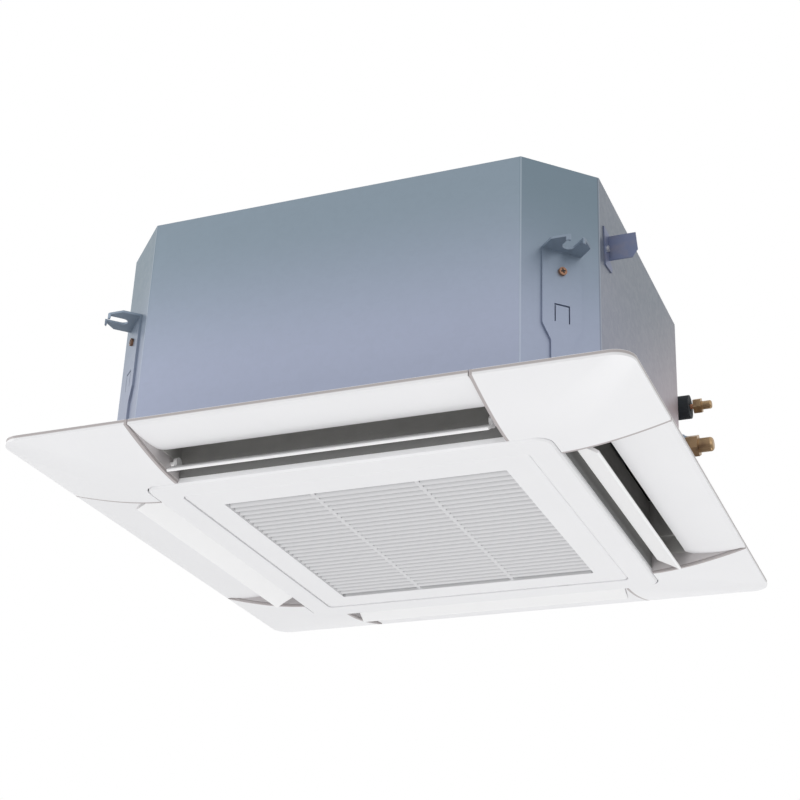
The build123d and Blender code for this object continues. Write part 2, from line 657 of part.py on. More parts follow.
def hook_outline():
    """Hanger's flange seen from above, X along the chamfer and Y outwards."""
    half, reach, slot = HOOK_W / 2, HOOK_REACH, HOOK_SLOT_W / 2
    corner = 14.0
    face = outline([(-half, 0), (half, 0), (half, reach - corner), (half - corner, reach),
                    (corner - half, reach), (-half, reach - corner)])
    face = fillet(face.vertices().group_by(Axis.Y)[-1], 5.0)
    bore = Pos(0, HOOK_SLOT_IN + slot) * Circle(slot)
    way = Pos(0, HOOK_SLOT_IN + slot) * Rectangle(2 * slot, 2 * reach, align=(Align.CENTER, Align.MIN))
    return face - bore - way


def hanger(name):
    flange = slab(hook_outline(), HOOK_TOP - HOOK_T, HOOK_TOP)
    lips = slab(hook_outline() & Pos(0, HOOK_REACH) * Rectangle(HOOK_W, 2 * HOOK_T),
                HOOK_TOP - HOOK_LIP, HOOK_TOP)
    half, neck = HOOK_W / 2, HOOK_NECK_W / 2
    low = HOOK_TOP - HOOK_PLATE_H
    plate = outline([(-half, HOOK_TOP), (half, HOOK_TOP), (half, low + 40), (neck, low + 22),
                     (neck, low), (-neck, low), (-neck, low + 22), (-half, low + 40)])
    bends = plate.vertices().filter_by(lambda v: low + 20 < v.Y < low + 45)
    plate = fillet(bends, 8.0)
    window_z = HOOK_TOP - WINDOW_DOWN
    plate -= Pos(0, window_z) * (Rectangle(WINDOW_W, WINDOW_H) - Pos(0, -1.5)
                                 * Rectangle(WINDOW_W - 3, WINDOW_H - 1))
    plate -= Pos(0, HOOK_TOP - BRACKET_SCREW_DOWN) * Circle(BRACKET_SCREW_R - 2)
    back = extrude(Plane.XZ * plate, -HOOK_T)
    return to_corner(flange + lips + back, name)


def to_corner(shape, name):
    """From a chamfer's own frame, Y outwards from its face, to that corner."""
    return Rot(0, 0, CORNERS[name] - 90) * Pos(0, CHAMFER_OUT, 0) * shape


def hanger_screws():
    at = HOOK_TOP - BRACKET_SCREW_DOWN
    head = rod_y(BRACKET_SCREW_R, HOOK_T, HOOK_T + 3, 0, at)
    shank = rod_y(BRACKET_SCREW_R - 2, 0, HOOK_T, 0, at)
    return Compound([to_corner(head + shank, name) for name in CORNERS])


def pipe_corner_bracket():
    """Folded post that carries the hanger in front of the pipe corner."""
    half = HOOK_W / 2 + POST_T
    post = block(-half, half, -POST_T, 0, NOTCH_Z, HOOK_TOP)
    foot = block(-half, half, -POST_DEPTH, 0, NOTCH_Z, NOTCH_Z + POST_T)
    edge = block(half - POST_T, half, -POST_DEPTH, 0, NOTCH_Z, HOOK_TOP)
    return to_corner(post + foot + edge, "rear_right") & notch(0)


def side_bracket():
    """Small folded bracket on the right face near the front, with its leg standing out."""
    low, high = CLIP_Z, CLIP_Z + CLIP_LEG_H
    base = outline([(CLIP_Y - 20, high + 3), (CLIP_Y, high + 3), (CLIP_Y, low + 3),
                    (CLIP_Y + 12, low - 4), (CLIP_Y + 9, low - 10), (CLIP_Y - 16, low - 13)])
    base -= Pos(CLIP_Y - 9, low + 10) * Circle(CLIP_SCREW_R - 1.2)
    shape = Pos(BODY_HALF, 0, 0) * extrude(Plane.YZ * base, CLIP_T)
    leg = outline([(BODY_HALF, low), (BODY_HALF + CLIP_LEG_L - 5, low),
                   (BODY_HALF + CLIP_LEG_L + 1, low + 9), (BODY_HALF + CLIP_LEG_L - 1, high),
                   (BODY_HALF, high)])
    return shape + Pos(0, CLIP_Y, 0) * extrude(Plane.XZ * leg, CLIP_T)


def side_bracket_screw():
    at = CLIP_Z + 10
    head = rod_x(CLIP_SCREW_R, BODY_HALF + CLIP_T, BODY_HALF + CLIP_T + 2.2, CLIP_Y - 9, at)
    return head + rod_x(CLIP_SCREW_R - 1.2, BODY_HALF, BODY_HALF + CLIP_T, CLIP_Y - 9, at)


# ---- drain pan, bell mouth, electrics ----
def drain_pan():
    shape = slab(inset_octagon(SHEET + FIT), PAN_Z, PAN_TOP)
    shape += slab(bottom_opening(FIT), BODY_Z, PAN_Z)
    recess = SUCTION_WALL + FIT
    shape -= block(-recess, recess, -recess, recess, BODY_Z, BODY_Z + PAN_LEDGE + FIT)
    inner = COIL_HALF - COIL_DEPTH - TROUGH_GAP
    shape -= slab(square(inner - PAN_WALL, 30), BODY_Z, PAN_TOP)
    shape -= frame(COIL_HALF + TROUGH_GAP, inner, COIL_Z, PAN_TOP, COIL_R, 12)
    slot = block(OUTLET_IN, OUTLET_OUT, 4 - OUTLET_HALF, OUTLET_HALF - 4, BODY_Z, PAN_TOP)
    well = rod(SCREW_R + 1.5, BODY_Z, BODY_Z + 16, SCREW_AT, SCREW_AT)
    for angle in SIDES.values():
        shape -= Rot(0, 0, angle) * slot
        shape -= Rot(0, 0, angle) * well
    return shape


def bell_mouth():
    flare = MOUTH_R + MOUTH_FLARE
    inside = ThreePointArc((MOUTH_R, MOUTH_TOP), (MOUTH_R + 7, BODY_Z + 18), (flare, BODY_Z))
    outside = ThreePointArc((flare + MOUTH_T, BODY_Z + MOUTH_T),
                            (MOUTH_R + 7 + MOUTH_T, BODY_Z + 20),
                            (MOUTH_R + MOUTH_T, MOUTH_TOP))
    section = make_face([inside, Line((flare, BODY_Z), (flare + MOUTH_T, BODY_Z + MOUTH_T)),
                         outside, Line((MOUTH_R + MOUTH_T, MOUTH_TOP), (MOUTH_R, MOUTH_TOP))])
    shape = revolve(Plane.XZ * section, Axis.Z)
    plate = block(BOX_W - SUCTION_WALL + FIT, SUCTION_WALL, -SUCTION_WALL, SUCTION_WALL,
                  BODY_Z, BODY_Z + MOUTH_T)
    shape += plate - rod(flare, BODY_Z - 1, BODY_Z + MOUTH_T + 1)
    return shape


def control_box():
    x0 = -SUCTION_WALL
    shape = block(x0, x0 + BOX_W, -BOX_L / 2, BOX_L / 2, BODY_Z + BOX_WALL, BODY_Z + PAN_LEDGE)
    return shape - block(x0 + BOX_WALL, x0 + BOX_W - BOX_WALL, BOX_WALL - BOX_L / 2,
                         BOX_L / 2 - BOX_WALL, BODY_Z, BODY_Z + PAN_LEDGE - BOX_WALL)


def control_box_cover():
    x0 = -SUCTION_WALL
    return block(x0, x0 + BOX_W, -BOX_L / 2, BOX_L / 2, BODY_Z, BODY_Z + BOX_WALL)


def control_board():
    x0 = -SUCTION_WALL + 5
    top = BODY_Z + PAN_LEDGE - BOX_WALL
    low = top - 5 - BOARD_T
    shape = block(x0, x0 + BOX_W - 10, 8 - BOX_L / 2, BOX_L / 2 - 8, low, low + BOARD_T)
    for x in (x0 + 4, x0 + BOX_W - 14):
        for y in (14 - BOX_L / 2, BOX_L / 2 - 14):
            shape += rod(2.5, low + BOARD_T, top, x, y)
    for y, length, depth in ((-100, 34, 12), (-45, 22, 10), (10, 30, 8), (70, 40, 12)):
        shape += block(x0 + 8, x0 + BOX_W - 20, y, y + length, low - depth, low)
    return shape


def cable_grommet():
    wall = -BODY_HALF
    shape = rod_x(GROMMET_R - FIT, wall, wall + SHEET, GROMMET_Y, GROMMET_Z)
    rim = GROMMET_R + GROMMET_RIM
    inner = wall + SHEET + GROMMET_RIM
    shape += rod_x(rim, wall - GROMMET_RIM, wall, GROMMET_Y, GROMMET_Z)
    shape += rod_x(rim, wall + SHEET, inner, GROMMET_Y, GROMMET_Z)
    return shape - rod_x(GROMMET_BORE_R, wall - GROMMET_RIM - 1, inner + 1, GROMMET_Y, GROMMET_Z)


# ---- coil and pipes ----
def heat_exchanger():
    inner = COIL_HALF - COIL_DEPTH
    plan = square(COIL_HALF, COIL_R) - square(inner, 10)
    plan -= Pos(COIL_END_X, COIL_END_Y) * Rectangle(BODY, BODY, align=Align.MIN)
    return slab(plan, COIL_Z, COIL_TOP)


def coil_end_plates():
    inner, outer = COIL_HALF - COIL_DEPTH, COIL_HALF
    right = block(inner, outer, COIL_END_Y, COIL_END_Y + PLATE_T, COIL_Z, COIL_TOP)
    rear = block(COIL_END_X, COIL_END_X + PLATE_T, inner, outer, COIL_Z, COIL_TOP)
    return Compound([right, rear])


def return_bends():
    reach = COIL_DEPTH / 4
    middle = COIL_HALF - COIL_DEPTH / 2
    half_ring = Torus(reach, TUBE_R) & Pos(0, reach + TUBE_R, 0) * Box(80, 2 * (reach + TUBE_R), 20)
    pitch = COIL_H / BENDS
    bends = []
    for k in range(BENDS):
        z = COIL_Z + pitch * (k + 0.5)
        bends.append(Pos(middle, COIL_END_Y + PLATE_T, z) * half_ring)
        bends.append(Pos(COIL_END_X + PLATE_T, middle, z) * Rot(0, 0, -90) * half_ring)
    return Compound(bends)


def elbow_pipe(radius, bend, x, y0, z, end_x):
    """Tube that runs along +Y from the coil's end, turns and leaves along +X."""
    path = FilletPolyline((x, y0, z), (x, PIPE_Y, z), (end_x, PIPE_Y, z), radius=bend)
    section = Plane(origin=(x, y0, z), z_dir=(0, 1, 0)) * Circle(radius)
    return sweep(section, path=path)


def gas_header():
    y = COIL_END_Y + PLATE_T + HEADER_OFF
    shape = rod(HEADER_R, COIL_Z + 12, COIL_TOP - 12, HEADER_X, y)
    pitch = COIL_H / BENDS
    for k in range(1, BENDS):
        z = COIL_Z + pitch * k
        shape += rod_y(TUBE_R - 1, COIL_END_Y + PLATE_T, y, HEADER_X, z)
    return shape


def gas_pipe():
    y0 = COIL_END_Y + PLATE_T + HEADER_OFF
    pipe = elbow_pipe(GAS_R, GAS_BEND_R, HEADER_X, y0, GAS_Z, GAS_NUT_X)
    return pipe - rod(HEADER_R, COIL_Z, COIL_TOP, HEADER_X, y0)


def liquid_pipe():
    start = COIL_END_Y + PLATE_T
    return elbow_pipe(LIQUID_R, LIQUID_BEND_R, LIQUID_X, start, LIQUID_Z, LIQUID_NUT_X)


def pipe_sleeve(pipe_r, end_x, z):
    start = NOTCH_X - SHEET - NOTCH_LINER
    return (rod_x(SLEEVE_R, start, end_x, PIPE_Y, z)
            - rod_x(pipe_r + FIT, start - 1, end_x + 1, PIPE_Y, z))


def flare_cap(radius, start, z):
    cap = rod_x(radius, start, PIPE_END, PIPE_Y, z)
    return fillet(cap.edges().group_by(Axis.X)[-1], radius * 0.45)


# ---- drain ----
def drain_socket():
    wall = BODY_HALF
    inner = wall - SOCKET_IN
    shape = rod_y(DRAIN_R, inner, wall + SOCKET_OUT, DRAIN_X, DRAIN_Z)
    shape += rod_y(DRAIN_R + 5, wall, wall + 2.5, DRAIN_X, DRAIN_Z)
    shape -= rod_y(HOSE_R - 2.5, inner - 1, wall, DRAIN_X, DRAIN_Z)
    return shape - rod_y(DRAIN_BORE_R, wall - 6, wall + SOCKET_OUT + 1, DRAIN_X, DRAIN_Z)


def drain_hose():
    start = PUMP_Y + PUMP_R + 6
    end = BODY_HALF - SOCKET_IN
    middle = (start + end) / 2
    z0 = CHAMBER_Z + CHAMBER_H / 2
    path = FilletPolyline((DRAIN_X, start, z0), (DRAIN_X, middle, z0), (DRAIN_X, middle, DRAIN_Z),
                          (DRAIN_X, end, DRAIN_Z), radius=(end - start) / 2 - 1)
    section = Plane(origin=(DRAIN_X, start, z0), z_dir=(0, 1, 0)) * Circle(HOSE_R)
    return sweep(section, path=path)


def drain_pump():
    top = CHAMBER_Z + CHAMBER_H
    shape = rod(PUMP_R, CHAMBER_Z, top, DRAIN_X, PUMP_Y)
    shape += rod(PUMP_R - 5, top, top + 40, DRAIN_X, PUMP_Y)
    shape += rod(7, COIL_Z + 4, CHAMBER_Z, DRAIN_X, PUMP_Y)
    shape += block(DRAIN_X - 12, DRAIN_X + 12, PUMP_Y - 1.5, PUMP_Y + 1.5, top + 30, ROOM_TOP)
    shape += block(DRAIN_X - 22, DRAIN_X + 22, PUMP_Y - 14, PUMP_Y + 14, ROOM_TOP - 2, ROOM_TOP)
    shape += rod_y(HOSE_R - 2.5, PUMP_Y, PUMP_Y + PUMP_R + 6, DRAIN_X, CHAMBER_Z + CHAMBER_H / 2)
    shape -= rod(IMPELLER_R + 2.5, CHAMBER_Z + 2, top - 3, DRAIN_X, PUMP_Y)
    shape -= rod(4, COIL_Z + 3, CHAMBER_Z + 3, DRAIN_X, PUMP_Y)
    return shape - rod(2 + RUN_GAP, top - 4, top + 20, DRAIN_X, PUMP_Y)


def pump_impeller():
    low = CHAMBER_Z + 3.5
    high = CHAMBER_Z + CHAMBER_H - 4.5
    shape = rod(IMPELLER_R, high - 2, high, DRAIN_X, PUMP_Y)
    for k in range(4):
        vane = block(5, IMPELLER_R - 1, -1, 1, low, high)
        shape += Pos(DRAIN_X, PUMP_Y, 0) * Rot(0, 0, 90 * k) * vane
    return shape + rod(2, high - 2, CHAMBER_Z + CHAMBER_H + 19, DRAIN_X, PUMP_Y)


def float_switch():
    low = COIL_Z + 8
    shape = rod(STEM_R, low, low + STEM_H, FLOAT_X, FLOAT_Y)
    shape += rod(STEM_R + 2.5, low, low + 2, FLOAT_X, FLOAT_Y)
    shape += block(COIL_END_X + PLATE_T, FLOAT_X + 6, FLOAT_Y - 6, FLOAT_Y + 6,
                   low + STEM_H, low + STEM_H + 4)
    return shape


def switch_float():
    low = COIL_Z + 10
    ring = rod(FLOAT_R, low, low + FLOAT_H, FLOAT_X, FLOAT_Y)
    return ring - rod(STEM_R + 0.4, low - 1, low + FLOAT_H + 1, FLOAT_X, FLOAT_Y)


# ---- fan ----
def shroud_section():
    low = FAN_Z
    high = low + SHROUD_H
    inner = ThreePointArc((FAN_IN_R, low), (FAN_IN_R + 3.5, low + 0.65 * SHROUD_H), (FAN_R, high))
    outer = ThreePointArc((FAN_R, high - FAN_T), (FAN_IN_R + 6, low + 0.58 * SHROUD_H),
                          (FAN_IN_R + FAN_T, low))
    return make_face([inner, Line((FAN_R, high), (FAN_R, high - FAN_T)), outer,
                      Line((FAN_IN_R + FAN_T, low), (FAN_IN_R, low))])


def turbo_fan():
    low, top = FAN_Z, FAN_TOP
    hub = revolved([(0, HUB_Z), (HUB_R, HUB_Z), (CONE_R, top - FAN_T), (FAN_R, top - FAN_T),
                    (FAN_R, top), (CONE_R - 1, top), (HUB_R - 1, HUB_Z + FAN_T), (0, HUB_Z + FAN_T)])
    hub += rod(2.4 * SHAFT_R, HUB_Z - 6, HUB_Z + 14)
    shroud = revolve(Plane.XZ * shroud_section(), Axis.Z)
    zone = revolved([(BLADE_IN_R, top - 1), (BLADE_IN_R, low + 40), (FAN_IN_R - 1, low + 8),
                     (FAN_IN_R + 1, low + 9), (FAN_IN_R + 5, low + 18), (FAN_IN_R + 13, low + 23.5),
                     (FAN_R - 1, low + 25), (FAN_R - 1, top - 1)])
    start = Vector(BLADE_IN_R - 4, 0, 0)
    end = Vector(FAN_R + 2, 0, 0).rotate(Axis.Z, -BLADE_SWEEP)
    middle = Vector((BLADE_IN_R + FAN_R) / 2, 0, 0).rotate(Axis.Z, -BLADE_SWEEP * 0.36)
    bulge = Vector(3.2, 2.4, 0)
    foil = make_face([ThreePointArc(start, middle + bulge * 0.5, end),
                      ThreePointArc(end, middle - bulge * 0.5, start)])
    blade = slab(foil, low, top) & zone
    shape = hub + shroud
    for k in range(BLADES):
        shape += Rot(0, 0, 360 / BLADES * k) * blade
    return shape - rod(SHAFT_R + 0.02, HUB_Z - 20, HUB_Z + 30)


def motor_shaft():
    return rod(SHAFT_R, HUB_Z - 16, MOTOR_Z + MOTOR_H - 8)


def fan_nut():
    nut = Pos(0, 0, HUB_Z - 14) * extrude(RegularPolygon(2 * SHAFT_R, 6), 8)
    return nut - rod(SHAFT_R + 0.02, HUB_Z - 20, HUB_Z)


def fan_motor():
    can = rod(MOTOR_R, MOTOR_Z, MOTOR_Z + MOTOR_H)
    can = fillet(can.edges().group_by(Axis.Z)[0], 6)
    can += rod(2.6 * SHAFT_R, MOTOR_Z - 5, MOTOR_Z)
    return can - rod(SHAFT_R + RUN_GAP, MOTOR_Z - 6, MOTOR_Z + MOTOR_H - 4)


def motor_mounts():
    mounts = []
    for k in range(FEET):
        foot = rod(FOOT_R, MOTOR_Z + MOTOR_H, BODY_TOP - SHEET, MOTOR_R - FOOT_R - 3, 0)
        mounts.append(Rot(0, 0, 360 / FEET * k) * foot)
    return Compound(mounts)


save(panel_frame(), "panel_frame")
for corner_name in CORNERS:
    save(corner_cover(corner_name), "corner_cover_" + corner_name)
    save(hanger(corner_name), "hanger_" + corner_name)
save(centre_frame(), "centre_frame")
save(suction_grille(), "suction_grille")
save(hinge_pins(), "hinge_pins")
save(air_filter(), "air_filter")
save(strike_plates(), "strike_plates")
save(catch_housings(), "catch_housings")
save(catch_plunger(CATCH_X[0]), "catch_plunger_left")
save(catch_plunger(CATCH_X[1]), "catch_plunger_right")
for side_name in SIDES:
    save(flap(side_name), "flap_" + side_name)
save(flap_motors(), "flap_motors")
save(panel_screws(), "panel_screws")
save(panel_seal(), "panel_seal")
save(casing_shell(), "casing_shell")
save(top_plate(), "top_plate")
save(insulation_liner(), "insulation_liner")
save(hanger_screws(), "hanger_screws")
save(pipe_corner_bracket(), "pipe_corner_bracket")
save(side_bracket(), "side_bracket")
save(side_bracket_screw(), "side_bracket_screw")
save(drain_pan(), "drain_pan")
save(bell_mouth(), "bell_mouth")
save(control_box(), "control_box")
save(control_box_cover(), "control_box_cover")
save(control_board(), "control_board")
save(cable_grommet(), "cable_grommet")
save(heat_exchanger(), "heat_exchanger")
save(coil_end_plates(), "coil_end_plates")
save(return_bends(), "return_bends")
save(gas_header(), "gas_header")
save(gas_pipe(), "gas_pipe")
save(liquid_pipe(), "liquid_pipe")
save(pipe_sleeve(LIQUID_R, SLEEVE_END, LIQUID_Z), "liquid_sleeve")
save(pipe_sleeve(GAS_R, NOTCH_X + GAS_SLEEVE_L, GAS_Z), "gas_sleeve")
save(hexagon(LIQUID_NUT_AF, LIQUID_NUT_X, LIQUID_NUT_X + LIQUID_NUT_L, PIPE_Y, LIQUID_Z),
     "liquid_nut")
save(hexagon(GAS_NUT_AF, GAS_NUT_X, GAS_NUT_X + GAS_NUT_L, PIPE_Y, GAS_Z), "gas_nut")
save(flare_cap(LIQUID_CAP_R, LIQUID_NUT_X + LIQUID_NUT_L, LIQUID_Z), "liquid_cap")
save(flare_cap(GAS_CAP_R, GAS_NUT_X + GAS_NUT_L, GAS_Z), "gas_cap")
save(drain_socket(), "drain_socket")
save(drain_hose(), "drain_hose")
save(drain_pump(), "drain_pump")
save(pump_impeller(), "pump_impeller")
save(float_switch(), "float_switch")
save(switch_float(), "switch_float")
save(turbo_fan(), "turbo_fan")
save(motor_shaft(), "motor_shaft")
save(fan_nut(), "fan_nut")
save(fan_motor(), "fan_motor")
save(motor_mounts(), "motor_mounts")
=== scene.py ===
# %% [markdown]
# # A four-way ceiling cassette
#
# The imported model comes in as a fixed frame. Each of its solids is already at its
# place, so what is left for this lesson is a finish for every solid, dark foam and
# dark screw crosses that paint the shade in the outlets and in the screw recesses
# that the solids lack, the light and the camera.

# %% load the frame
import json
import math
import bpy
import bmesh
from mathutils import Matrix, Vector


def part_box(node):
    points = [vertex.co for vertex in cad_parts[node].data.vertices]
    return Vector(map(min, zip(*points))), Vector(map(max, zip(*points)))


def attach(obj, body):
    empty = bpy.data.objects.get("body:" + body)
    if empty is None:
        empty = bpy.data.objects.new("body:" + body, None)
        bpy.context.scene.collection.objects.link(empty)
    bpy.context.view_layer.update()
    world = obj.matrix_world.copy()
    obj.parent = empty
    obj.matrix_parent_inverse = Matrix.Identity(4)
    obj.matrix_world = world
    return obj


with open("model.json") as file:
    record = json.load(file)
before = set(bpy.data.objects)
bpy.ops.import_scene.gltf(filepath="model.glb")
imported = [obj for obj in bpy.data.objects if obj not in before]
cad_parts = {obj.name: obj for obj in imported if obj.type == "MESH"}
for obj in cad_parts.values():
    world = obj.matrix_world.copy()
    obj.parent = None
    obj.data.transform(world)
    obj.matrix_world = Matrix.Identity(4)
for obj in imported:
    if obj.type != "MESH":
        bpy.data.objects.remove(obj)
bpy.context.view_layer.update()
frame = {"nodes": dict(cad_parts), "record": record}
nodes = frame["nodes"]

# %% [markdown]
# ## Shader maths as plain sums
#
# A finish could be built as a web of nodes, one call for each, but it is easier to
# read as a sum. `Value` wraps one socket and adds a Math node for each operator.
# `Finish` starts a material with its Principled shader and makes every other kind
# of node with one method.


# %% a socket that can be added and multiplied
class Value:
    def __init__(self, tree, socket):
        self.tree = tree
        self.socket = socket

    def join(self, operation, other, swapped=False):
        node = self.tree.nodes.new("ShaderNodeMath")
        node.operation = operation
        for slot, item in zip(node.inputs, (other, self) if swapped else (self, other)):
            if isinstance(item, Value):
                self.tree.links.new(item.socket, slot)
            else:
                slot.default_value = item
        return Value(self.tree, node.outputs[0])

    def __add__(self, other):
        return self.join("ADD", other)

    def __sub__(self, other):
        return self.join("SUBTRACT", other)

    def __rsub__(self, other):
        return self.join("SUBTRACT", other, swapped=True)

    def __mul__(self, other):
        return self.join("MULTIPLY", other)

    def __gt__(self, other):
        return self.join("GREATER_THAN", other)

    def __lt__(self, other):
        return self.join("LESS_THAN", other)

    def larger(self, other):
        return self.join("MAXIMUM", other)

    def smaller(self, other):
        return self.join("MINIMUM", other)

    def size(self):
        return self.join("ABSOLUTE", 0.0)

    def wave(self):
        return self.join("SINE", 0.0)

    __radd__ = __add__
    __rmul__ = __mul__


# %% a material under way
COAT_ROUGHNESS = 0.25
MIX_SHARE, MIX_ONE, MIX_TWO, MIX_RESULT = 0, 6, 7, 2    # sockets of a Mix of colours


class Finish:
    def __init__(self, name, roughness, metallic=0.0, coat=0.0, specular=0.5):
        self.material = bpy.data.materials.new(name)
        self.material.use_nodes = True
        self.tree = self.material.node_tree
        self.shader = self.tree.nodes["Principled BSDF"]
        self.shader.inputs["Roughness"].default_value = roughness
        self.shader.inputs["Metallic"].default_value = metallic
        self.shader.inputs["Coat Weight"].default_value = coat
        self.shader.inputs["Coat Roughness"].default_value = COAT_ROUGHNESS
        self.shader.inputs["Specular IOR Level"].default_value = specular
        self.place = self.node("ShaderNodeTexCoord", output="Object")

    def node(self, kind, settings=None, inputs=None, output=0):
        node = self.tree.nodes.new(kind)
        for key, value in (settings or {}).items():
            setattr(node, key, value)
        for key, value in (inputs or {}).items():
            if isinstance(value, Value):
                self.tree.links.new(value.socket, node.inputs[key])
            else:
                node.inputs[key].default_value = value
        return Value(self.tree, node.outputs[output])

    def noise(self, scale, stretch=(1, 1, 1), detail=3.0):
        place = self.node("ShaderNodeMapping", {}, {"Vector": self.place, "Scale": stretch})
        inputs = {"Vector": place, "Scale": scale, "Detail": detail}
        return self.node("ShaderNodeTexNoise", {}, inputs, "Fac")

    def cells(self, scale, output):
        inputs = {"Vector": self.place, "Scale": scale}
        return self.node("ShaderNodeTexVoronoi", {}, inputs, output)

    def axis(self, name):
        return self.node("ShaderNodeSeparateXYZ", {}, {"Vector": self.place}, name)

    def step(self, value, low, high):
        settings = {"interpolation_type": "SMOOTHSTEP"}
        inputs = {"Value": value, "From Min": low, "From Max": high}
        return self.node("ShaderNodeMapRange", settings, inputs)

    def blend(self, share, one, two):
        mix = self.tree.nodes.new("ShaderNodeMix")
        mix.data_type = "RGBA"
        self.tree.links.new(share.socket, mix.inputs[MIX_SHARE])
        for slot, item in ((MIX_ONE, one), (MIX_TWO, two)):
            if isinstance(item, Value):
                self.tree.links.new(item.socket, mix.inputs[slot])
            else:
                mix.inputs[slot].default_value = (*item, 1.0)
        return Value(self.tree, mix.outputs[MIX_RESULT])

    def colour(self, value):
        self.tree.links.new(value.socket, self.shader.inputs["Base Color"])

    def rough(self, value):
        self.tree.links.new(value.socket, self.shader.inputs["Roughness"])

    def bump(self, height, depth, strength):
        inputs = {"Height": height, "Distance": depth, "Strength": strength}
        normal = self.node("ShaderNodeBump", {}, inputs)
        self.tree.links.new(normal.socket, self.shader.inputs["Normal"])


def shade(colour, factor):
    return tuple(min(1.0, channel * factor) for channel in colour)


# %% [markdown]
# ## Moulded plastic
#
# The panel is injection moulded and has a fine spark-eroded grain, under half a
# millimetre, that breaks the gloss. As a shape it would take millions of faces, so
# a little noise in the bump gives it instead. A much larger, very faint noise in
# the colour keeps broad surfaces from looking printed.

# %% moulded plastic
GRAIN_SCALE = 2600.0                # noise cells to the metre
GRAIN_DEPTH = 0.00004
CLOUD_SCALE = 9.0
CLOUD_DARK, CLOUD_PALE = 0.975, 1.02
SMEAR_SCALE, SMEAR = 30.0, 0.08     # how much the roughness wanders


# the marks, when given, paint light and shade over the colour
def moulded_plastic(name, colour, roughness, coat=0.0, painted_light_marks=None):
    f = Finish(name, roughness, coat=coat)
    tone = f.blend(f.noise(CLOUD_SCALE), shade(colour, CLOUD_DARK), shade(colour, CLOUD_PALE))
    f.colour(painted_light_marks(f, tone) if painted_light_marks else tone)
    f.rough(f.noise(SMEAR_SCALE) * SMEAR + (roughness - SMEAR / 2))
    f.bump(f.noise(GRAIN_SCALE, detail=2.0), GRAIN_DEPTH, 0.5)
    return f.material


# %% [markdown]
# ## Painted shade on the white plastic
#
# On the panel, two places are painted warm grey as shade instead of white: the edges
# of the corner covers beside the lips, where a seam leaves a shadow gap, and the upper
# half of the rim's side. The slats of the grille are painted greyer than its border as
# shade, which darkens with their depth, and its ribs get a little painted light. These
# could be separate materials on picked faces, but the faces belong to the imported
# solids, whose meshes stay as they are. So sums on the place of a point pick out each
# region.

# %% painted shade on the edges of the panel
SHADOW_GAP_AT = 0.1910                    # middle of the painted shadow gap at a corner cover's edge beside a lip
SHADOW_GAP_FADE = (0.0017, 0.0026)        # how far from that middle the painted shade ends
SHADOW_GAP_FROM = 0.2345                  # the painted shadow gaps start at the outlet's inner wall
# painted shade, warm grey, for the shadow gaps beside the lips and for the rim's side
SEAM_PAINTED_SHADE = (0.44, 0.405, 0.405)
RIM_SHADE_FADE = (0.3350, 0.3360)         # only beyond this distance from the axis
RIM_SHADE_RISE_FADE = (-0.0040, -0.0025)  # heights between which the rim's side is painted grey as shade
RIM_SHADE_TOP = -0.0003                   # its top edge stays white, without painted shade


# painted shade: warm grey in the shadow gaps beside the lips and on the upper half of the rim's
# side
def seam_and_rim_painted_shade(f, plain):
    across, along = f.axis("X").size(), f.axis("Y").size()
    near, far = across.smaller(along), across.larger(along)
    seam_shade = (1.0 - f.step((near - SHADOW_GAP_AT).size(), *SHADOW_GAP_FADE)) * (far > SHADOW_GAP_FROM)
    height = f.axis("Z")
    rim_shade = f.step(far, *RIM_SHADE_FADE) * f.step(height, *RIM_SHADE_RISE_FADE) * (height < RIM_SHADE_TOP)
    return f.blend(seam_shade.larger(rim_shade), plain, SEAM_PAINTED_SHADE)


# %% painted shade on the slats of the grille
FIELD_HALF = 0.1674                 # half the side of the field of slats with painted shade
SLAT_SHADE_FADE = (-0.0255, -0.0215)      # painted shade deepens from a slat's lower edge up into the gap
# painted shade on the slats: paler at a slat's lower edge, dark up in the gap
SLAT_SHADE_LIGHT, SLAT_SHADE_DEEP = (0.67, 0.67, 0.685), (0.37, 0.37, 0.38)
RIB_AT = 0.062                      # the two ribs, from the middle
RIB_FADE = (0.0015, 0.0030)
# painted light on the two ribs among the shaded slats
RIB_PAINTED_LIGHT, RIB_LIGHT_SHARE = (0.72, 0.72, 0.73), 0.14


# painted shade over the field of slats, with a little painted light on the ribs
def slat_painted_shade(f, plain):
    across, along = f.axis("X").size(), f.axis("Y").size()
    shaded_field = across.larger(along) < FIELD_HALF
    rib_light = 1.0 - f.step((across - RIB_AT).size(), *RIB_FADE)
    slat_shade = f.blend(f.step(f.axis("Z"), *SLAT_SHADE_FADE), SLAT_SHADE_LIGHT, SLAT_SHADE_DEEP)
    return f.blend(shaded_field, plain, f.blend(rib_light * RIB_LIGHT_SHARE, slat_shade, RIB_PAINTED_LIGHT))


# %% [markdown]
# ## Galvanised sheet
#
# Zinc-coated sheet is a soft grey metal with a bluish cast. Up close it has a
# faint spangle and a rolling direction. The spangle is a Voronoi pattern of about
# 6 mm cells with very little contrast, and the rolling marks are a noise that is
# stretched along the sheet. Light and shade are painted on the sheet as well: painted
# shade darkens it towards the top, painted shade deepens the cut-off corners and the
# right face, painted warm light pales the right face towards its far lower part, and
# the upright folds carry a painted highlight.

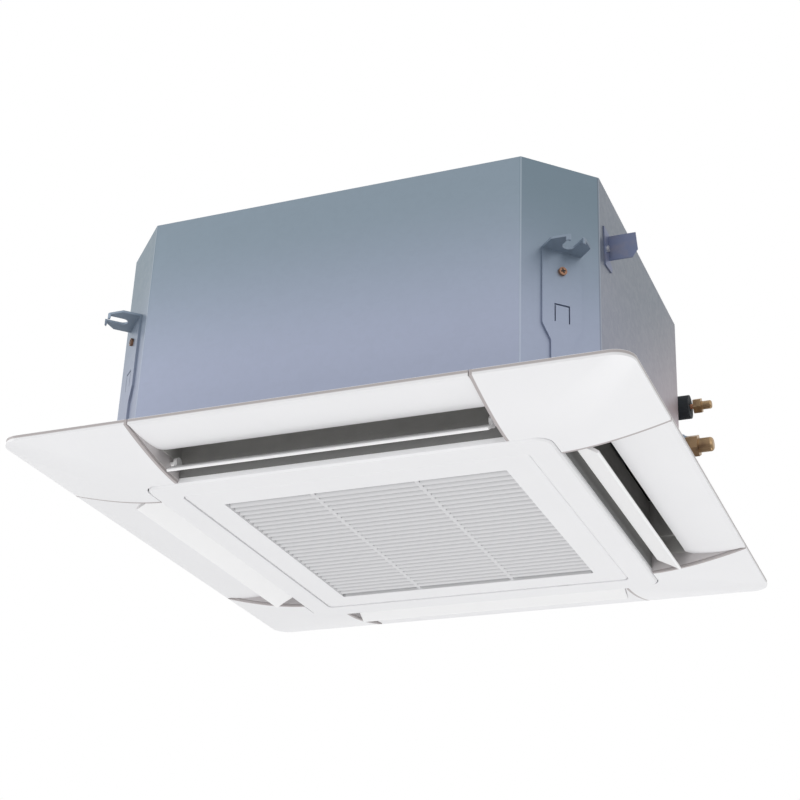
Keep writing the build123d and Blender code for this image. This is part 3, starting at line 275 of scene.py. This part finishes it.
# %% tones, painted shade and painted light on the sheet
# painted shade: the zinc is darker at the top and paler at the foot
ZINC_SHADED_TOP = (0.238, 0.30, 0.36)
ZINC_LIT_FOOT = (0.362, 0.40, 0.52)
ZINC_UNEVEN = 0.05                  # how far the pattern darkens or lightens the zinc
SHADE_TOP_TO_LIT_FOOT = (0.26, 0.06)          # heights of the top, darkest with painted shade, and the paler foot
CORNER_SHADE_FADE = (0.5065, 0.5075)      # |x| + |y|, just inside the cut corners at 0.5083, where painted shade starts
CORNER_PAINTED_SHADE = (0.07, 0.125, 0.155)
CORNER_SHADE_SHARE, CORNER_SHADE_LOSS = 0.40, 0.28      # the painted shade's share at the top, and less at the foot
RIGHT_SHADE_FADE = (0.2855, 0.2868)       # x, just inside the right face at 0.2875, where painted shade starts
RIGHT_PAINTED_SHADE, RIGHT_SHADE_SHARE = (0.085, 0.085, 0.11), 0.58
WARM_LIGHT_FADE, WARM_LIGHT_LEAN = (-0.26, 0.04), 0.7   # painted warm light, far and low on the right face
WARM_PAINTED_LIGHT, WARM_LIGHT_SHARE = (0.49, 0.405, 0.42), 0.95
FOLD_AT = 0.2208                    # the folds on both sides of a cut corner
FOLD_HIGHLIGHT_FADE = (0.0005, 0.0011)
FOLD_HIGHLIGHT_FROM = 0.2862                  # only near the side faces
# painted highlight along the upright folds
FOLD_PAINTED_HIGHLIGHT, FOLD_HIGHLIGHT_SHARE = (0.60, 0.67, 0.76), 0.28


# %% galvanised sheet
SPANGLE_SCALE = 170.0               # cells to the metre
ROLLED_SCALE, ROLLED_STRETCH = 60.0, (0.35, 0.35, 9.0)
BROAD_SCALE = 5.0
SPANGLE_PART, ROLLED_PART, BROAD_PART = 0.3, 0.4, 0.3
SPANGLE_ROUGH, ROLLED_ROUGH, ZINC_POLISH = 0.06, 0.08, 0.06
ROLLED_DEPTH = 0.00003


def galvanised(name, roughness=0.42):
    f = Finish(name, roughness, metallic=0.55)
    cells = f.cells(SPANGLE_SCALE, "Color")
    spangle = f.node("ShaderNodeSeparateColor", {}, {"Color": cells}, "Red")
    rolled = f.noise(ROLLED_SCALE, ROLLED_STRETCH)
    broad = f.noise(BROAD_SCALE)
    tone = spangle * SPANGLE_PART + rolled * ROLLED_PART + broad * BROAD_PART
    # painted shade by height: darker towards the top, paler at the foot
    lit_foot = f.step(f.axis("Z"), *SHADE_TOP_TO_LIT_FOOT)
    dark = f.blend(lit_foot, shade(ZINC_SHADED_TOP, 1 - ZINC_UNEVEN), shade(ZINC_LIT_FOOT, 1 - ZINC_UNEVEN))
    light = f.blend(lit_foot, shade(ZINC_SHADED_TOP, 1 + ZINC_UNEVEN), shade(ZINC_LIT_FOOT, 1 + ZINC_UNEVEN))
    across, along = f.axis("X").size(), f.axis("Y").size()
    # painted shade on the cut-off corners, less towards the foot
    corner = f.step(across + along, *CORNER_SHADE_FADE) * (CORNER_SHADE_SHARE - lit_foot * CORNER_SHADE_LOSS)
    sheet = f.blend(corner, f.blend(tone, dark, light), CORNER_PAINTED_SHADE)
    # painted shade on the right face
    right = f.step(f.axis("X"), *RIGHT_SHADE_FADE)
    sheet = f.blend(right * RIGHT_SHADE_SHARE, sheet, RIGHT_PAINTED_SHADE)
    # painted warm light on the far lower part of the right face
    warm_light = f.step(f.axis("Y") * WARM_LIGHT_LEAN - f.axis("Z"), *WARM_LIGHT_FADE)
    sheet = f.blend(warm_light * right * WARM_LIGHT_SHARE, sheet, WARM_PAINTED_LIGHT)
    # painted highlight along the upright folds
    fold_highlight = 1.0 - f.step((across.smaller(along) - FOLD_AT).size(), *FOLD_HIGHLIGHT_FADE)
    fold_highlight = fold_highlight * (across.larger(along) > FOLD_HIGHLIGHT_FROM)
    f.colour(f.blend(fold_highlight * FOLD_HIGHLIGHT_SHARE, sheet, FOLD_PAINTED_HIGHLIGHT))
    f.rough(spangle * SPANGLE_ROUGH + rolled * ROLLED_ROUGH + (roughness - ZINC_POLISH))
    f.bump(rolled, ROLLED_DEPTH, 0.2)
    return f.material


# %% [markdown]
# ## Foam and rubber
#
# Foam and rubber are dull and slightly pitted. Modelled pits would take very many
# faces, so a Voronoi pattern in the bump stands for them. The same function serves
# for foam and rubber, with the scale and the depth of the pits.

# %% foam and rubber
FOAM_CLOUDS = 40.0
FOAM_DARK, FOAM_PALE = 0.85, 1.15


def foam(name, colour, roughness, cell, depth, painted_light_marks=None):
    f = Finish(name, roughness, specular=0.3)
    tone = f.blend(f.noise(FOAM_CLOUDS), shade(colour, FOAM_DARK), shade(colour, FOAM_PALE))
    f.colour(painted_light_marks(f, tone) if painted_light_marks else tone)
    f.bump(f.cells(cell, "Distance"), depth, 0.5)
    return f.material


# %% [markdown]
# ## Machined and drawn metal
#
# Brass nuts and copper tube are turned or drawn, so their fine marks run round
# or along the axis. The nuts and the ends of the pipes lie along X here, and a noise
# stretched across X gives fine rings. Modelled rings would be too fine to see as
# shapes. A second noise lays a duller stain over part of the metal.

# %% turned metal
RING_STRETCH = (1.0, 0.06, 0.06)
RING_DEPTH = 0.00003
STAIN_SCALE, STAIN_FADE = 70.0, (0.45, 0.75)
RING_ROUGH, STAIN_ROUGH, METAL_POLISH = 0.12, 0.15, 0.10


def turned_metal(name, colour, dull, roughness=0.28, rings=900.0, metallic=1.0):
    f = Finish(name, roughness, metallic=metallic)
    ring = f.noise(rings, RING_STRETCH)
    stain = f.noise(STAIN_SCALE, detail=5.0)
    f.colour(f.blend(f.step(stain, *STAIN_FADE), colour, dull))
    f.rough(ring * RING_ROUGH + stain * STAIN_ROUGH + (roughness - METAL_POLISH))
    f.bump(ring, RING_DEPTH, 0.4)
    return f.material


# %% [markdown]
# ## Fins and net
#
# The coil is a pack of thin aluminium fins, seen edge on. Hundreds of sheets would
# be many faces for something that shows only through an opening, so close stripes
# that run up the block, with painted shade between them, read as fins. The filter's
# net is the same idea in two directions, with painted shade in its holes.

# %% fins and filter net
FIN_PITCH, FIN_DEPTH = 0.0016, 0.0004
FIN_GAP_PAINTED_SHADE = 0.25                # how dark the painted shade is between two fins
NET_PITCH, NET_DEPTH = 0.0016, 0.0003
# painted shade in the holes of the net
HOLE_FADE, HOLE_PAINTED_SHADE = (0.35, 0.55), 0.18


def fin_pack(name, colour):
    f = Finish(name, 0.4, metallic=0.8)
    across = f.axis("X") + f.axis("Y")
    ridge = (across * (math.tau / FIN_PITCH)).wave() * 0.5 + 0.5
    # painted shade in the gaps between the fins
    f.colour(f.blend(ridge, shade(colour, FIN_GAP_PAINTED_SHADE), colour))
    f.bump(ridge, FIN_DEPTH, 0.8)
    return f.material


def net(name, colour):
    f = Finish(name, 0.7)
    warp = (f.axis("X") * (math.pi / NET_PITCH)).wave().size()
    weft = (f.axis("Y") * (math.pi / NET_PITCH)).wave().size()
    hole = f.step(warp.smaller(weft), *HOLE_FADE)
    # painted shade in the holes of the net
    f.colour(f.blend(hole, colour, shade(colour, HOLE_PAINTED_SHADE)))
    f.bump(1.0 - hole, NET_DEPTH, 0.8)
    return f.material


# %% [markdown]
# ## One finish for each slot
#
# Each solid could be given its material by hand. The record lists a slot for every
# solid, so a table from slot to material dresses the whole model in one loop. The
# grille shares the panel's slot but has slats, so it is the one solid that gets a
# finish of its own, with painted shade on the slats.

# %% the finishes
WHITE = (0.85, 0.85, 0.865)
finishes = {
    # white_plastic carries the painted shade of the seams and the rim
    "white_plastic": moulded_plastic("white_plastic", WHITE, 0.38, 0.1, seam_and_rim_painted_shade),
    "slat_plastic_painted_shade": moulded_plastic("slat_plastic_painted_shade", WHITE, 0.38, 0.1, slat_painted_shade),
    "flap_plastic": moulded_plastic("flap_plastic", (0.90, 0.90, 0.905), 0.60),
    "grey_plastic": moulded_plastic("grey_plastic", (0.22, 0.225, 0.23), 0.5),
    "black_plastic": moulded_plastic("black_plastic", (0.025, 0.025, 0.028), 0.5),
    "float_plastic": moulded_plastic("float_plastic", (0.68, 0.64, 0.55), 0.6),
    "motor_paint": moulded_plastic("motor_paint", (0.02, 0.02, 0.022), 0.4),
    "board": moulded_plastic("board", (0.02, 0.13, 0.05), 0.5),
    "filter_mesh": net("filter_mesh", (0.07, 0.075, 0.085)),
    "fin_aluminium": fin_pack("fin_aluminium", (0.60, 0.66, 0.70)),
    "galvanised": galvanised("galvanised"),
    "steel": turned_metal("steel", (0.60, 0.61, 0.62), (0.45, 0.46, 0.47), 0.35),
    "bracket_steel": turned_metal("bracket_steel", (0.16, 0.19, 0.30), (0.20, 0.21, 0.29),
                                  0.45, 300.0, metallic=0.4),
    "copper_screw": turned_metal("copper_screw", (0.36, 0.20, 0.13), (0.12, 0.075, 0.055),
                                 0.38),
    "copper": turned_metal("copper", (0.80, 0.38, 0.22), (0.50, 0.22, 0.14)),
    "brass": turned_metal("brass", (0.42, 0.29, 0.165), (0.26, 0.17, 0.10), 0.36),
    "rubber": foam("rubber", (0.025, 0.025, 0.026), 0.7, 900.0, 0.0001),
    "grey_rubber": foam("grey_rubber", (0.12, 0.12, 0.125), 0.7, 900.0, 0.0001),
    "foam_white": foam("foam_white", (0.72, 0.72, 0.70), 0.8, 350.0, 0.0002),
    "foam_black": foam("foam_black", (0.16, 0.16, 0.16), 0.9, 350.0, 0.0003),
    "sleeve_foam": foam("sleeve_foam", (0.035, 0.04, 0.045), 0.75, 700.0, 0.0002),
}
own_finish = {"suction_grille": "slat_plastic_painted_shade"}
print("mixed", len(finishes), "finishes")

# %% dress the solids
for part in frame["record"]["subparts"]:
    dressed = nodes[part["node"]]
    dressed.data.materials.clear()
    dressed.data.materials.append(finishes[own_finish.get(part["node"], part["material_slot"])])

# %% [markdown]
# ## New pieces
#
# The dark foam linings and the dark screw crosses, which paint shade, are made with
# bmesh operators. Each could be linked and dressed where it is made, but one helper
# does it the same way for all: it links the object, gives it a finish and lets it
# ride on a body of the model.


# %% helpers for new pieces
def piece(name, shape, finish, body="unit"):
    mesh = bpy.data.meshes.new(name)
    shape.to_mesh(mesh)
    shape.free()
    thing = bpy.data.objects.new(name, mesh)
    bpy.context.scene.collection.objects.link(thing)
    mesh.materials.append(finish)
    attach(thing, body)
    print("made", name, "with", len(mesh.polygons), "faces")


def rotation(degrees, axis):
    return Matrix.Rotation(math.radians(degrees), 3, axis)


# %% [markdown]
# ## The dark foam of the outlets
# ## Dark foam that paints the outlets' shade
# Inside, the outlets lie in shade. Units of this kind line them with thin foam,
# which keeps cold air off the plastic, and here that lining is dark grey to paint the
# shade. A single grey would look flat there, so painted shade makes the foam darkest
# low on the inner wall and painted light makes it palest on the outer one, which gets
# the least light. Its finish is the foam from above with these two fades on top.

# %% the foam's finish
INNER_SHADE_FADE, INNER_PAINTED_SHADE = (-0.020, 0.010), (0.20, 0.20, 0.197)   # heights over which painted shade darkens the inner wall
OUTER_LIGHT_FADE, OUTER_PAINTED_LIGHT = (0.245, 0.270), (0.74, 0.73, 0.71)     # from inner to outer wall, where painted light pales the foam


# painted shade low on the inner wall and painted light on the outer wall
def lining_painted_light_and_shade(f, plain):
    far = f.axis("X").size().larger(f.axis("Y").size())
    inner = f.blend(f.step(f.axis("Z"), *INNER_SHADE_FADE), INNER_PAINTED_SHADE, plain)
    return f.blend(f.step(far, *OUTER_LIGHT_FADE), inner, OUTER_PAINTED_LIGHT)


# the dark grey of this foam paints the shade inside the outlets
outlet_painted_shade_foam = foam("outlet_painted_shade_foam", (0.42, 0.415, 0.405), 0.9, 420.0, 0.0002, lining_painted_light_and_shade)

# %% [markdown]
# ## The linings
#
# A lining could be four sheets, but it is usually one folded strip. So it starts as
# an open tube, whose upper rim steps in where the drain pan begins and whose inner
# wall reaches further down than the rest. Solidify gives it the foam's thickness at
# the end.

# %% a rim that is drawn out
NEAR = 1e-4                         # how close counts as the same place


def rim_edges(shape, height):
    return [e for e in shape.edges if all(abs(v.co.z - height) < NEAR for v in e.verts)]


def draw_out(shape, edges, by):
    drawn = bmesh.ops.extrude_edge_only(shape, edges=edges)["geom"]
    verts = [g for g in drawn if isinstance(g, bmesh.types.BMVert)]
    bmesh.ops.translate(shape, verts=verts, vec=(0, 0, by))
    return verts


# %% the linings
SIDES = {"right": 0, "rear": 90, "left": 180, "front": 270}
LINING_IN, LINING_OUT = 0.2347, 0.2783          # its two long walls, from the axis
LINING_HALF, LINING_PAN_HALF = 0.1888, 0.1848   # half its length, in the panel and the pan
LINING_LOW, LINING_STEP = -0.0045, 0.0185       # its foot, and where the pan begins
LINING_STEP_RISE = 0.0003                       # the step in takes this much height
LINING_INNER_DROP = 0.0165                      # the inner wall reaches this much lower
LINING_SHORT = 0.0020                           # it ends this far below the pan's top
LINING_T = 0.0006
LINING_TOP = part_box("drain_pan")[1][2] - LINING_SHORT


# each lining is a dark foam sheet that paints the shade inside its outlet
def outlet_shade_lining(side, degrees):
    shape = bmesh.new()
    bmesh.ops.create_cube(shape, size=1.0)
    ends = [f for f in shape.faces if abs(f.normal.z) > 0.5]
    bmesh.ops.delete(shape, geom=ends, context="FACES")
    bmesh.ops.scale(shape, verts=shape.verts, vec=(LINING_OUT - LINING_IN, 2 * LINING_HALF,
                                                   LINING_STEP - LINING_LOW))
    bmesh.ops.translate(shape, verts=shape.verts, vec=((LINING_IN + LINING_OUT) / 2, 0,
                                                       (LINING_LOW + LINING_STEP) / 2))
    inner = [e for e in rim_edges(shape, LINING_LOW)
             if all(v.co.x < LINING_IN + NEAR for v in e.verts)]
    draw_out(shape, inner, -LINING_INNER_DROP)
    stepped = draw_out(shape, rim_edges(shape, LINING_STEP), LINING_STEP_RISE)
    bmesh.ops.scale(shape, verts=stepped, vec=(1, LINING_PAN_HALF / LINING_HALF, 1))
    neck = LINING_STEP + LINING_STEP_RISE
    draw_out(shape, rim_edges(shape, neck), LINING_TOP - neck)
    bmesh.ops.recalc_face_normals(shape, faces=shape.faces)
    bmesh.ops.solidify(shape, geom=shape.faces[:], thickness=LINING_T)
    bmesh.ops.rotate(shape, verts=shape.verts, cent=(0, 0, 0), matrix=rotation(degrees, "Z"))
    piece("outlet_shade_lining_" + side, shape, outlet_painted_shade_foam)


for side, degrees in SIDES.items():
    outlet_shade_lining(side, degrees)

# %% [markdown]
# ## Painted shade in the cross recesses of the hanger screws
#
# The screws on the hangers have a cross recess in a copper-coloured head, dark with
# shade. It could be cut into the head, but the heads are imported solids, whose meshes
# stay as they are. So each gets a low dark cross of painted shade, made of two beads
# at right angles on the head's outer face and turned with it to its corner.

# %% the crosses
CORNERS = {"rear_right": 45, "rear_left": 135, "front_left": 225, "front_right": 315}
CROSS_L, CROSS_W, CROSS_T = 0.0056, 0.0017, 0.0002
CROSS_TILT = 20.0
HEAD_FACE = 0.36502                 # the heads' outer faces, from the unit's axis
screws_low, screws_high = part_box("hanger_screws")
HEAD_Z = (screws_low[2] + screws_high[2]) / 2
# painted shade of the cross recesses, nearly black
screw_recess_shade = moulded_plastic("screw_recess_shade", (0.03, 0.022, 0.018), 0.7)


# each cross is a pair of dark beads that paints the shade of a screw's cross recess
def screw_cross_shade(corner, degrees):
    shape = bmesh.new()
    for tilt in (CROSS_TILT, CROSS_TILT + 90.0):
        bead = bmesh.ops.create_cube(shape, size=1.0)["verts"]
        bmesh.ops.scale(shape, verts=bead, vec=(CROSS_T, CROSS_L, CROSS_W))
        bmesh.ops.rotate(shape, verts=bead, cent=(0, 0, 0), matrix=rotation(tilt, "X"))
    bmesh.ops.translate(shape, verts=shape.verts, vec=(HEAD_FACE + CROSS_T / 2, 0, HEAD_Z))
    bmesh.ops.rotate(shape, verts=shape.verts, cent=(0, 0, 0), matrix=rotation(degrees, "Z"))
    piece("screw_cross_shade_" + corner, shape, screw_recess_shade)


for corner, degrees in CORNERS.items():
    screw_cross_shade(corner, degrees)

# %% [markdown]
# ## A white room
#
# A studio picture has a white ground and soft light from all round. Making the whole
# world that bright would wash the object out, so the world is bright only for what
# the camera sees directly, in a reflection or through glass, and dimmer as a light.

# %% world
scene = bpy.context.scene
scene.view_settings.view_transform = "Standard"
WORLD_LIGHT = 0.58
world = bpy.data.worlds.new("studio")
scene.world = world
world.use_nodes = True
tree = world.node_tree
backdrop = tree.nodes["Background"]
backdrop.inputs["Color"].default_value = (1, 1, 1, 1)
path = tree.nodes.new("ShaderNodeLightPath")
seen = Value(tree, path.outputs["Is Camera Ray"])
shiny = Value(tree, path.outputs["Is Glossy Ray"])
through = Value(tree, path.outputs["Is Transmission Ray"])
strength = WORLD_LIGHT + (1.0 - WORLD_LIGHT) * seen.larger(shiny).larger(through)
tree.links.new(strength.socket, backdrop.inputs["Strength"])

# %% [markdown]
# ## Floor
#
# The unit hangs from a ceiling, so the pale floor lies well below it. One large
# square is enough.

# %% floor
FLOOR_Z, FLOOR_HALF = -3.5, 30.0
FLOOR_TONE = (0.85, 0.85, 0.85, 1)
shape = bmesh.new()
bmesh.ops.create_grid(shape, x_segments=1, y_segments=1, size=FLOOR_HALF)
bmesh.ops.translate(shape, verts=shape.verts, vec=(0, 0, FLOOR_Z))
mesh = bpy.data.meshes.new("floor")
shape.to_mesh(mesh)
shape.free()
floor = bpy.data.objects.new("floor", mesh)
scene.collection.objects.link(floor)
floor_finish = Finish("floor", 0.9)
floor_finish.shader.inputs["Base Color"].default_value = FLOOR_TONE
floor.data.materials.append(floor_finish.material)

# %% [markdown]
# ## Lamps
#
# Small lamps would throw hard shadows, so all four are wide discs. Most light comes
# from the two below, because the panel's underside is the brightest surface in the
# picture. The other two stand to the right and the left and light the casing.


# %% lamps
def lamp(name, at, target, size, power):
    light = bpy.data.lights.new(name, "AREA")
    light.shape = "DISK"
    light.size = size
    light.energy = power
    thing = bpy.data.objects.new(name, light)
    aim = (Vector(target) - Vector(at)).to_track_quat("-Z", "Y")
    thing.matrix_world = Matrix.Translation(at) @ aim.to_matrix().to_4x4()
    scene.collection.objects.link(thing)
    print("lamp", name, "of", power, "W")


lamp("below_front", (-0.8, -2.2, -2.6), (0, 0, 0), 2.4, 37.0)
lamp("below_back", (0.8, 1.6, -2.6), (0, 0, 0), 2.4, 34.0)
lamp("right_front", (2.6, -1.8, 0.2), (0.2, -0.2, 0.12), 1.6, 12.0)
lamp("left_high", (-2.6, -1.6, 0.6), (0, 0, 0.1), 1.8, 22.0)

# %% [markdown]
# ## Camera
#
# A camera could be placed by eye, but then a wrong angle and a wrong shape look the
# same. So its angles and its lens were fitted to eight straight edges of the
# picture. It stands a little further off than the fit gave, to keep the panel's
# corner inside the picture. The lens has no shift, so other views stay centred.

# %% where the camera stands
AZIMUTH = math.radians(22.91)
PITCH = math.radians(25.50)
ROLL = math.radians(2.33)
DISTANCE = 1.930
ASIDE, ABOVE = -0.0205, 0.1450
RIM_DROP = 0.006                    # these start on the axis, at the rim's lower edge
forward = Vector((-math.sin(AZIMUTH) * math.cos(PITCH), math.cos(AZIMUTH) * math.cos(PITCH),
                  math.sin(PITCH)))
level = forward.cross(Vector((0, 0, 1))).normalized()
upward = level.cross(forward)
right = level * math.cos(ROLL) + upward * math.sin(ROLL)
up = upward * math.cos(ROLL) - level * math.sin(ROLL)
eye = forward * -DISTANCE + right * ASIDE + up * ABOVE - Vector((0, 0, RIM_DROP))

# %% the camera
FOCAL_PX, PICTURE_PX, SENSOR = 1633.0, 800.0, 36.0
lens = bpy.data.cameras.new("camera")
lens.sensor_width = SENSOR
lens.lens = FOCAL_PX / PICTURE_PX * SENSOR
lens.clip_end = 100.0
camera = bpy.data.objects.new("camera", lens)
facing = Matrix((right, up, -forward)).transposed()
camera.matrix_world = Matrix.Translation(eye) @ facing.to_4x4()
scene.collection.objects.link(camera)
scene.camera = camera
print("camera at", tuple(round(c, 3) for c in eye))
